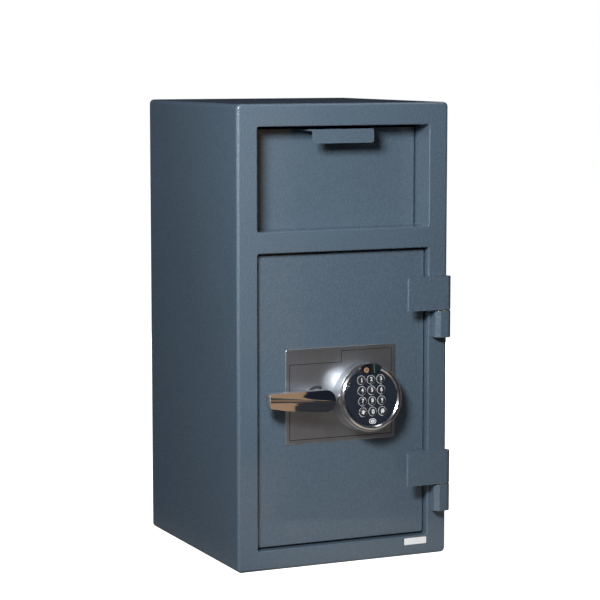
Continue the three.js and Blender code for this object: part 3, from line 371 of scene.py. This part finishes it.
# %% Floor
def plain_floor():
    """A wide disc: white to the camera, and toned in zones to everything that mirrors it."""
    bm = bmesh.new()
    bmesh.ops.create_circle(bm, cap_ends=True, radius=9.0, segments=96)
    mesh = bpy.data.meshes.new("floor")
    bm.to_mesh(mesh)
    bm.free()
    floor = bpy.data.objects.new("floor", mesh)
    bpy.context.scene.collection.objects.link(floor)
    pale = Finish("floor_pale", Metallic=0.0, Emission_Strength=1.1)
    cloud = pale.noise(400 * MM)
    across, back, _ = pale.parts(pale.place)
    from_safe = (across * across + back * back).root()
    # The zones: a pale disc close to the safe, a warm streak in front of the lever, deep shade
    # beside it, grey far away, and a dark left half.
    slope, offset, half_width, blur = 0.505, 0.29, 0.080, 0.004
    from_streak = abs(across + back * slope + offset)
    streak = 1 - from_streak.rising(half_width - blur, half_width + blur)
    shade, warm, far = (0.012, 0.016, 0.024), (0.36, 0.225, 0.13), (0.05, 0.05, 0.055)
    near, left = (0.54, 0.48, 0.42), (0.04, 0.04, 0.045)
    hidden = pale.blend(streak, shade, warm)
    hidden = pale.blend(from_safe.rising(0.95, 1.0), hidden, far)
    hidden = pale.blend(from_safe.rising(0.42, 0.48), near, hidden)
    hidden = pale.blend(across.rising(-0.25, 0.0), left, hidden)
    seen_straight = pale.node("ShaderNodeLightPath", output="Is Camera Ray")
    tone = pale.blend(cloud, (0.92, 0.92, 0.92), (0.95, 0.95, 0.95))
    pale.set(
        Base_Color=pale.blend(seen_straight, hidden, tone),
        Roughness=0.7 + cloud * 0.1,
        Emission_Color=pale.blend(seen_straight, (0, 0, 0), tone),
    )
    mesh.materials.append(pale.material)


plain_floor()


# %% Room
def pale_room(seen, lit_side, dark_side, behind, overhead):
    """Pale to the camera; in reflections, lit on the left, dark on the right and dim behind."""
    world = bpy.data.worlds.new("room")
    world.use_nodes = True
    room = Nodes(world.node_tree)
    direction = room.node("ShaderNodeTexCoord", output="Generated")
    across, back, up = room.parts(direction)
    split = math.tan(math.radians(25))
    to_the_right = (across + back * split).rising(-0.06, -0.01)
    walls = room.blend(to_the_right, lit_side, dark_side)
    walls = room.blend(back.rising(0.2, 0.5), walls, behind)
    walls = room.blend(up.rising(0.15, 0.7), walls, overhead)
    seen_straight = room.node("ShaderNodeLightPath", output="Is Camera Ray")
    room.feed(room.tree.nodes["Background"].inputs["Color"], room.blend(seen_straight, walls, seen))
    bpy.context.scene.world = world


pale_room(
    seen=(1.0, 1.0, 1.0), lit_side=(0.10, 0.09, 0.08), dark_side=(0.012, 0.016, 0.026),
    behind=(0.021, 0.026, 0.036), overhead=(0.06, 0.07, 0.09))
bpy.context.scene.view_settings.view_transform = "Standard"
print("floor and room")


# %% Lamps
safe_middle = (cad_box[0] + cad_box[1]) / 2


def softbox(
        name, azimuth, elevation, distance, width, height, power, colour=(1, 1, 1), aim=safe_middle):
    """A soft lamp seen from the safe at azimuth degrees from straight ahead (left is below 0)."""
    light = bpy.data.lights.new(name, "AREA")
    light.shape = "RECTANGLE"
    light.size, light.size_y = width, height
    light.energy, light.color = power, colour
    lamp = bpy.data.objects.new(name, light)
    bpy.context.scene.collection.objects.link(lamp)
    lamp.visible_camera = False
    azimuth, elevation = math.radians(azimuth), math.radians(elevation)
    toward = Vector((
        math.sin(azimuth) * math.cos(elevation),
        -math.cos(azimuth) * math.cos(elevation),
        math.sin(elevation),
    ))
    place = Matrix.Translation(aim + toward * distance)
    lamp.matrix_world = place @ toward.to_track_quat("Z", "Y").to_matrix().to_4x4()
    return lamp


front_middle = Vector((0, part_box("front_frame")[0].y, safe_middle.z))
softbox(
    "key_light", azimuth=-41, elevation=28, distance=1.45, width=0.34, height=0.28, power=29.5,
    aim=front_middle)
softbox(
    "left_strip", azimuth=-72, elevation=4, distance=2.4, width=0.12, height=1.8, power=3.4,
    colour=(0.92, 0.96, 1.0))
softbox("ceiling_panel", azimuth=60, elevation=62, distance=1.8, width=1.2, height=0.3, power=2.3)
softbox(
    "front_panel", azimuth=18.7, elevation=4, distance=2.34, width=0.25, height=1.6, power=0.43,
    colour=(1.0, 0.63, 0.36))
# The back lamp shows the back and the right side, and stays out of the gloss.
back_panel = softbox(
    "back_panel", azimuth=140, elevation=0, distance=2.4, width=1.6, height=0.6, power=34)
back_panel.visible_glossy = False
print("five lamps round", tuple(round(c, 3) for c in safe_middle))

# %% [markdown]
# ## How a CAD piece gets soft edges
# CAD gives the right shape, but with flat facets and no light on its edges. `skin_of` copies a
# node's mesh, merges its loose triangles and clears the edges that lie flat. `make_piece` turns
# a bmesh into an object that rides on the node's body, and shades it smooth between its sharp
# edges. A weighted normal modifier keeps the broad faces flat while the small bends stay round.

# %% Helpers for every modelled piece
nodes_of_body = frame["record"]["behaviour"]["bodies"]
body_of_node = {node: body for body, nodes in nodes_of_body.items() for node in nodes}


def skin_of(node):
    """A node's own mesh as a bmesh, with its flat faces made whole."""
    bm = bmesh.new()
    bm.from_mesh(cad[node].data)
    bmesh.ops.remove_doubles(bm, verts=bm.verts, dist=0.002 * MM)
    bmesh.ops.dissolve_limit(bm, angle_limit=math.radians(0.5), verts=bm.verts, edges=bm.edges)
    return bm


def make_piece(name, bm, body, material, slot, replaces=(), sharp=32, edge=0.0, second=None):
    """An object from a bmesh that rides on body and takes the place of the nodes in replaces.

    Edges sharper than sharp degrees stay sharp, or are eased by edge metres. Faces whose
    material index is 1 take the second material.
    """
    bmesh.ops.recalc_face_normals(bm, faces=bm.faces)
    mesh = bpy.data.meshes.new(name)
    bm.to_mesh(mesh)
    bm.free()
    mesh.polygons.foreach_set("use_smooth", [True] * len(mesh.polygons))
    mesh.set_sharp_from_angle(angle=math.radians(sharp))
    mesh.materials.append(material)
    if second:
        mesh.materials.append(second)
    piece = bpy.data.objects.new(name, mesh)
    bpy.context.scene.collection.objects.link(piece)
    if edge:
        ease = piece.modifiers.new("eased edges", "BEVEL")
        ease.width, ease.segments, ease.angle_limit = edge, 2, math.radians(sharp)
        ease.harden_normals = True
    flat = piece.modifiers.new("flat faces", "WEIGHTED_NORMAL")
    flat.keep_sharp = True
    if replaces:
        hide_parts(*replaces)
    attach(piece, body)
    return piece


def refined(node, material, slot, **finish):
    """A smooth copy of a CAD node that stands for it."""
    body = body_of_node[node]
    return make_piece(node + "_skin", skin_of(node), body, material, slot, (node,), **finish)


def millimetres(profile):
    """Pairs of radius and height in millimetres, as metres."""
    return [(radius * MM, height * MM) for radius, height in profile]


print("nodes on their bodies:", len(body_of_node))


# %% [markdown]
# ## The welded body
# Wrap, back, frame and linings are one welded and painted body, so their seams don't show. Their
# bends are already in the CAD shape. Each becomes a smooth copy in the body paint.

# %% Body
for node in ("body_wrap", "back_panel", "front_frame", "hopper_surround", "door_jamb"):
    refined(node, body_paint, "body_paint")
for node in ("chute_side_left", "chute_side_right", "anti_fish_baffle"):
    refined(node, inner_paint, "inner_paint")
refined("hopper_pivot_rod", bare_steel, "bare_steel")
print("body: 9 pieces")

# %% [markdown]
# ## Hinges
# Each hinge is a pin in a knuckle on the frame and in a block on the door, with a brass washer
# between them. The block is sawn from thick bar: its edges are eased before painting, so they
# catch the light.

# %% Hinges
for place in ("upper", "lower"):
    refined(f"hinge_block_{place}", body_paint, "body_paint", edge=0.9 * MM, sharp=40)
    refined(f"hinge_knuckle_{place}", body_paint, "body_paint", edge=0.6 * MM, sharp=24)
    refined(f"hinge_washer_{place}", washer_brass, "washer_brass")
    refined(f"hinge_pin_{place}", bare_steel, "bare_steel")
print("hinges: two sets of four pieces")

# %% [markdown]
# ## The deposit hopper
# The panel is a plain sheet that leans forward when its bent lip is pulled. The bucket behind it
# only shows when it is open. A printed label is stuck low on the frame; here it stays blank.

# %% Hopper and label
refined("hopper_panel", body_paint, "body_paint", edge=0.5 * MM)
refined("hopper_pull", body_paint, "body_paint", edge=0.7 * MM, sharp=40)
for node in ("hopper_tray", "hopper_cheek_left", "hopper_cheek_right"):
    refined(node, inner_paint, "inner_paint")


def frame_label(left, right, bottom, top, thickness=0.12 * MM, corner=0.04):
    """A sticker on the frame; its corners are rounded by the share corner of its sides."""
    bm = bmesh.new()
    bmesh.ops.create_grid(bm, x_segments=1, y_segments=1, size=0.5)
    bmesh.ops.bevel(
        bm, geom=bm.verts[:], offset=corner, segments=3, profile=0.5, affect="VERTICES", material=-1)
    bmesh.ops.scale(bm, vec=(right - left, top - bottom, 1), verts=bm.verts)
    bmesh.ops.rotate(bm, matrix=Matrix.Rotation(math.radians(90), 3, "X"), verts=bm.verts)
    raised = bmesh.ops.extrude_face_region(bm, geom=bm.faces[:])
    front = [v for v in raised["geom"] if isinstance(v, bmesh.types.BMVert)]
    bmesh.ops.translate(bm, vec=(0, -thickness, 0), verts=front)
    middle = ((left + right) / 2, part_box("front_frame")[0].y, (bottom + top) / 2)
    bmesh.ops.translate(bm, vec=middle, verts=bm.verts)
    return make_piece("frame_label", bm, "body", blank_vinyl, "brushed_plate")


frame_label(left=102.3 * MM, right=140.2 * MM, bottom=17.2 * MM, top=27.6 * MM)
print("hopper: 5 pieces, and a blank label")

# %% [markdown]
# ## The door's face
# The door is a thick plate whose edge is chamfered, so a thin bright line runs round it. The
# escutcheon on it is brushed stainless sheet. Its engraved border steps round a name box at the
# top left, which stays bare here. The border is an outline that is inset into a thin line and
# sunk into the sheet, filled with dark paint.

# %% Door plate and escutcheon
refined("door_plate", body_paint, "body_paint")


def escutcheon_skin(rim):
    """The plate with its outer front edge rolled off over rim metres."""
    bm = skin_of("escutcheon_plate")
    low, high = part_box("escutcheon_plate")
    corner_radius, flatness = 3 * MM, 0.01 * MM

    def on_outline(v):
        inside = min(v.co.x - low.x, high.x - v.co.x, v.co.z - low.z, high.z - v.co.z)
        return v.co.y < low.y + flatness and inside < corner_radius

    outline = [e for e in bm.edges if all(on_outline(v) for v in e.verts)]
    bmesh.ops.bevel(bm, geom=outline, offset=rim, segments=4, profile=0.5, affect="EDGES", material=-1)
    return bm


make_piece(
    "escutcheon_plate_skin", escutcheon_skin(1.1 * MM), "door", brushed_plate, "brushed_plate",
    ("escutcheon_plate",), sharp=40)


def engraved_border(corners, line=1.6 * MM, depth=0.2 * MM, fill=0.03 * MM):
    """A line that follows corners, depth metres down in the sheet and filled just past its front."""
    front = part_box("escutcheon_plate")[0].y
    bm = bmesh.new()
    face = bm.faces.new([bm.verts.new((x, front + depth, z)) for x, z in corners])
    face.normal_update()
    bmesh.ops.inset_region(bm, faces=[face], thickness=line, use_boundary=True)
    bmesh.ops.delete(bm, geom=[face], context="FACES")
    raised = bmesh.ops.extrude_face_region(bm, geom=bm.faces[:])
    top = [v for v in raised["geom"] if isinstance(v, bmesh.types.BMVert)]
    bmesh.ops.translate(bm, vec=(0, -depth - fill, 0), verts=top)
    return make_piece("engraved_border", bm, "door", dark_engraving, "keypad_black")


plate_low, plate_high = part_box("escutcheon_plate")
margin, name_box_bottom, name_box_right = 6 * MM, 306.5 * MM, -1 * MM
left, right = plate_low.x + margin, plate_high.x - margin
bottom, top = plate_low.z + margin, plate_high.z - margin
engraved_border([
    (left, bottom), (right, bottom), (right, top),
    (name_box_right, top), (name_box_right, name_box_bottom), (left, name_box_bottom),
])
print("door plate, escutcheon and its border")

# %% [markdown]
# ## Turned pieces
# Rosette, keypad ring and key caps are all turned shapes: a profile, spun about an axis. Blender
# spins the profile's edges and merges the seam. `turned` takes the profile as pairs of radius and
# height along Z, and a matrix that stands the piece in its place.

# %% Lathe
def turned(profile, place, steps=96):
    """The profile spun about Z in steps, then put in its place."""
    bm = bmesh.new()
    points = [bm.verts.new((radius, 0, height)) for radius, height in profile]
    edges = [bm.edges.new(pair) for pair in zip(points, points[1:])]
    bmesh.ops.spin(
        bm, geom=points + edges, cent=(0, 0, 0), axis=(0, 0, 1), angle=math.tau, steps=steps,
        use_merge=True)
    bmesh.ops.remove_doubles(bm, verts=bm.verts, dist=0.001 * MM)
    bmesh.ops.transform(bm, matrix=place, verts=bm.verts)
    return bm


facing_out = Matrix.Rotation(math.radians(90), 4, "X")
facing_in = Matrix.Rotation(math.radians(-90), 4, "X")
print("lathe ready")

# %% Lever and rosette
rosette_low, rosette_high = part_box("handle_rosette")
rosette_middle = (rosette_low + rosette_high) / 2
rosette_back = Vector((rosette_middle.x, rosette_high.y, rosette_middle.z))
rosette_profile = millimetres([(11.4, 0), (19, 0), (19, 1.5), (15, 4), (11.4, 4), (11.4, 0)])
make_piece(
    "lever_rosette", turned(rosette_profile, Matrix.Translation(rosette_back) @ facing_out),
    "door", handle_chrome, "handle_chrome", ("handle_rosette",), edge=0.5 * MM, sharp=20)


def lever_skin(ridge):
    """The lever with its ridge rounded to ridge metres on each side, and its rim in satin."""
    bm = skin_of("lever_handle")
    facet, polished = -0.97, -0.93
    front = [f for f in bm.faces if f.normal.y < facet]
    crest = [e for e in bm.edges if len(e.link_faces) == 2 and all(f in front for f in e.link_faces)]
    bmesh.ops.bevel(bm, geom=crest, offset=ridge, segments=6, profile=0.5, affect="EDGES", material=-1)
    bm.normal_update()
    for face in bm.faces:
        face.material_index = 0 if face.normal.y < polished else 1
    return bm


make_piece(
    "lever_handle_skin", lever_skin(2.8 * MM), "handle", handle_chrome, "handle_chrome",
    ("lever_handle",), sharp=40, second=satin_rim)
print("lever and rosette")

# %% [markdown]
# ## The keypad
# The keypad is a chrome drum that leans back, so the keys face a standing hand. The ring on its
# front is turned and polished. The plane of the ring's front face is the workbench for all that
# sits in it: x runs across, y up the face and z out of it.

# %% Keypad plane
keypad_lean = math.radians(7.7)
ring_low, ring_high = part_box("keypad_bezel")
ring_middle_x = (ring_low.x + ring_high.x) / 2
keypad_middle = Vector((ring_middle_x, -198.7 * MM, 254.4 * MM))
keypad_plane = Matrix.Translation(keypad_middle) @ Matrix.Rotation(math.radians(90) - keypad_lean, 4, "X")
face_front, face_back = -1.2 * MM, -9 * MM
key_pitch, key_rise, key_shift = 16 * MM, 2.4 * MM, 0.2 * MM
key_radius = 6 * MM
print("ring middle", tuple(round(c, 4) for c in keypad_middle))


# %% Ring and drum
def drum(radius, wall, place, steps=128):
    """A tube behind the ring, cut off flat where it meets the escutcheon."""
    under_ring, past_sheet, clearance = -2 * MM, -40 * MM, 0.3 * MM
    bm = turned([(radius, under_ring), (radius, past_sheet)], place, steps)
    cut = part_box("escutcheon_plate")[0].y - clearance
    bmesh.ops.bisect_plane(
        bm, geom=bm.verts[:] + bm.edges[:] + bm.faces[:], plane_co=(0, cut, 0), plane_no=(0, 1, 0),
        clear_outer=True)
    bmesh.ops.recalc_face_normals(bm, faces=bm.faces)
    bmesh.ops.solidify(bm, geom=bm.faces[:], thickness=wall)
    return bm


make_piece(
    "keypad_drum", drum(51 * MM, 3 * MM, keypad_plane), "door", drum_satin, "ring_chrome",
    ("keypad_housing",))
ring_profile = millimetres([
    (42.5, -9), (51.8, -9), (51.8, -4.6), (50.4, -3.1), (46.4, -0.1), (45.3, -0.1), (42.5, -2.0),
    (42.5, -9)])
make_piece(
    "keypad_ring", turned(ring_profile, keypad_plane, 128),
    "door", ring_chrome, "ring_chrome", ("keypad_bezel",), edge=0.45 * MM, sharp=12)
print("drum and ring")


# %% Face with its key holes
def key_spot(row, column):
    return Vector((key_shift + (column - 1) * key_pitch, key_rise + (1.5 - row) * key_pitch, 0))


key_rows = (("1", "2", "3"), ("4", "5", "6"), ("7", "8", "9"), ("star", "0", "hash"))
key_spots = {
    key: key_spot(row, column) for row, keys in enumerate(key_rows) for column, key in enumerate(keys)}


def pierced_disc(radius, hole_radius, front, back, place):
    """A disc from back to front with a round hole at every key."""
    bm = bmesh.new()
    bmesh.ops.create_circle(bm, radius=radius, segments=96)
    for spot in key_spots.values():
        bmesh.ops.create_circle(bm, radius=hole_radius, segments=40, matrix=Matrix.Translation(spot))
    bmesh.ops.triangle_fill(bm, edges=bm.edges[:], use_beauty=True, use_dissolve=False, normal=(0, 0, 1))
    bmesh.ops.translate(bm, vec=(0, 0, back), verts=bm.verts)
    raised = bmesh.ops.extrude_face_region(bm, geom=bm.faces[:])
    top = [v for v in raised["geom"] if isinstance(v, bmesh.types.BMVert)]
    bmesh.ops.translate(bm, vec=(0, 0, front - back), verts=top)
    bmesh.ops.transform(bm, matrix=place, verts=bm.verts)
    return bm


key_play, face_radius = 0.4 * MM, 42.2 * MM
disc = pierced_disc(face_radius, key_radius + key_play, face_front, face_back, keypad_plane)
make_piece(
    "keypad_face_plate", disc, "door", keypad_black, "keypad_black", ("keypad_face",), edge=0.25 * MM)
print("keypad face with", len(key_spots), "key holes")

# %% [markdown]
# ## Keys and their print
# Each key is a turned cap with a shallow dish for the fingertip. A thin pale ring is printed round
# it on the face. The mark on the key is text that becomes a mesh, laid on the cap with a trace of
# thickness, so it moves with the key.

# %% Print
def printed_mark(text, height, middle, place, boldness=0.025, thickness=0.02, flattened=0.4):
    """Text as a thin mesh whose middle lies at middle in the plane, height metres tall."""
    curve = bpy.data.curves.new("print", "FONT")
    curve.body, curve.size, curve.offset = text, 1.0, boldness
    curve.extrude = thickness
    written = bpy.data.objects.new("print", curve)
    bpy.context.scene.collection.objects.link(written)
    bpy.context.view_layer.update()
    solid = written.evaluated_get(bpy.context.evaluated_depsgraph_get())
    bm = bmesh.new()
    bm.from_mesh(bpy.data.meshes.new_from_object(solid))
    bpy.data.objects.remove(written)
    low = Vector([min(v.co[i] for v in bm.verts) for i in range(3)])
    high = Vector([max(v.co[i] for v in bm.verts) for i in range(3)])
    size = height / (high.y - low.y)
    bmesh.ops.translate(bm, vec=-(low + high) / 2, verts=bm.verts)
    bmesh.ops.scale(bm, vec=(size, size, size * flattened), verts=bm.verts)
    bmesh.ops.translate(bm, vec=middle, verts=bm.verts)
    bmesh.ops.remove_doubles(bm, verts=bm.verts, dist=0.001 * MM)
    bmesh.ops.transform(bm, matrix=place, verts=bm.verts)
    return bm


def printed_ring(middle, inner, outer, level, place, oval=1.0, ink=0.06 * MM):
    """A thin flat ring printed on the face at level, its height the share oval of its width."""
    section = [(inner, 0), (outer, 0), (outer, ink), (inner, ink), (inner, 0)]
    bm = turned(section, Matrix.Identity(4), 48)
    bmesh.ops.scale(bm, vec=(1, oval, 1), verts=bm.verts)
    bmesh.ops.translate(bm, vec=middle + Vector((0, 0, level)), verts=bm.verts)
    bmesh.ops.transform(bm, matrix=place, verts=bm.verts)
    return bm


# %% Keys
marks = {"star": "*", "hash": "#"}
letters = {
    "2": "ABC", "3": "DEF", "4": "GHI", "5": "JKL", "6": "MNO", "7": "PRS", "8": "TUV", "9": "WXY"}
cap_profile = millimetres([
    (0, -4.9), (6.0, -4.9), (6.0, -0.1), (5.4, 0.6), (4.7, 0.6), (3.2, 0.42), (0, 0.36)])
print_level, tall_mark, short_mark, letter_height = 0.5 * MM, 7.0 * MM, 6.0 * MM, 1.5 * MM
short_rise, letter_drop = 1.0 * MM, -4.1 * MM
for key, spot in key_spots.items():
    body = f"button_{key}"
    shape = turned(cap_profile, keypad_plane @ Matrix.Translation(spot), 48)
    make_piece(
        f"key_cap_{key}", shape, body, key_black, "key_black", (f"key_{key}",), edge=0.2 * MM, sharp=25)
    height, rise = (short_mark, short_rise) if key in letters else (tall_mark, 0)
    middle = spot + Vector((0, rise, print_level))
    shape = printed_mark(marks.get(key, key), height, middle, keypad_plane)
    make_piece(f"key_mark_{key}", shape, body, pale_print, "brushed_plate")
    if key in letters:
        middle = spot + Vector((0, letter_drop, print_level))
        shape = printed_mark(letters[key], letter_height, middle, keypad_plane)
        make_piece(f"key_letters_{key}", shape, body, pale_print, "brushed_plate")
    shape = printed_ring(spot, 6.45 * MM, 6.95 * MM, face_front, keypad_plane)
    make_piece(f"key_ring_{key}", shape, "door", pale_print, "brushed_plate")
print("keys:", ", ".join(key_spots))

# %% Blank badge and lamp
badge_spot = Vector((-0.7 * MM, -36 * MM, 0))
for part, inner, outer in (("ring", 5.0 * MM, 6.1 * MM), ("oval", 1.2 * MM, 3.4 * MM)):
    shape = printed_ring(badge_spot, inner, outer, face_front, keypad_plane, oval=0.68)
    make_piece(f"blank_badge_{part}", shape, "door", pale_print, "brushed_plate")
lamp_spot = Vector((-25.5 * MM, 17.5 * MM, face_front))
lens_profile = millimetres([(0, -1), (0.9, -1), (0.9, 0.1), (0.6, 0.3), (0, 0.4)])
make_piece(
    "lamp_lens", turned(lens_profile, keypad_plane @ Matrix.Translation(lamp_spot), 24),
    "door", window_gloss, "window_gloss")
print("badge and lamp")


# %% Display window
def window_pane(half_width, half_height, rise, back, front, place, shoulder=0.5 * MM):
    """An oval pane, rise metres above the ring's middle, that swells towards its own middle."""
    bm = bmesh.new()
    bmesh.ops.create_circle(bm, cap_ends=True, radius=1, segments=64)
    bmesh.ops.scale(bm, vec=(half_width, half_height, 1), verts=bm.verts)
    bmesh.ops.translate(bm, vec=(0, rise, back), verts=bm.verts)
    raised = bmesh.ops.extrude_face_region(bm, geom=bm.faces[:])
    top = [v for v in raised["geom"] if isinstance(v, bmesh.types.BMVert)]
    swell = ((0.5 * MM, 0.35 * MM), (1.2 * MM, 0.12 * MM), (2.2 * MM, 0.03 * MM))
    bmesh.ops.translate(bm, vec=(0, 0, front - shoulder - back), verts=top)
    pane = max(bm.faces, key=lambda f: f.calc_center_median().z)
    bm.normal_update()
    for width, climb in swell:
        bmesh.ops.inset_region(bm, faces=[pane], thickness=width, depth=climb)
    bmesh.ops.transform(bm, matrix=place, verts=bm.verts)
    return bm


pane = window_pane(
    half_width=18 * MM, half_height=8 * MM, rise=43 * MM, back=face_back, front=0.8 * MM,
    place=keypad_plane)
make_piece(
    "display_window", pane, "door", window_gloss, "window_gloss", ("keypad_window",), sharp=50)
print("display window")

# %% [markdown]
# ## Behind the door
# Opening the door shows its inner side: a painted cover over the boltwork, the bare bar on the
# hinge side, and the bolts in the edge. The crank, the carriage and the lock case sit under the
# cover. Six button head screws hold it; their heads are turned, with a round drive hole.

# %% Inner works
for node in ("boltwork_frame", "inner_cover"):
    refined(node, inner_paint, "inner_paint")
bare_nodes = (
    "hard_plate", "dead_bar", "lock_case", "guide_stud_upper", "guide_stud_lower", "handle_spindle",
    "drive_crank", "crank_pin", "bolt_carriage")
for node in bare_nodes:
    refined(node, bare_steel, "bare_steel", edge=0.3 * MM)
for place in ("lower", "middle", "upper"):
    refined(f"locking_bolt_{place}", bolt_chrome, "bolt_chrome")
refined("spindle_bushing", washer_brass, "washer_brass")
refined("lock_case_bolt", washer_brass, "washer_brass", edge=0.3 * MM)
print("inner works: 16 pieces")

# %% Screws of the inner cover
cover_low, cover_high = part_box("inner_cover")
screw_profile = millimetres([
    (0, -0.4), (4.5, -0.4), (4.5, 0.6), (3.9, 1.6), (2.6, 2.2), (1.6, 2.3), (1.5, 0.9), (0, 0.9)])
inset = 11 * MM
columns = {"left": cover_low.x + inset, "right": cover_high.x - inset}
levels = {
    "low": cover_low.z + inset,
    "middle": (cover_low.z + cover_high.z) / 2,
    "high": cover_high.z - inset,
}
for side, across in columns.items():
    for level, up in levels.items():
        place = Matrix.Translation((across, cover_high.y, up)) @ facing_in
        make_piece(
            f"cover_screw_{side}_{level}", turned(screw_profile, place, 32), "door", bolt_chrome,
            "bolt_chrome")
print("six screws, at y =", round(cover_high.y, 4))

# %% The end
print("the end")
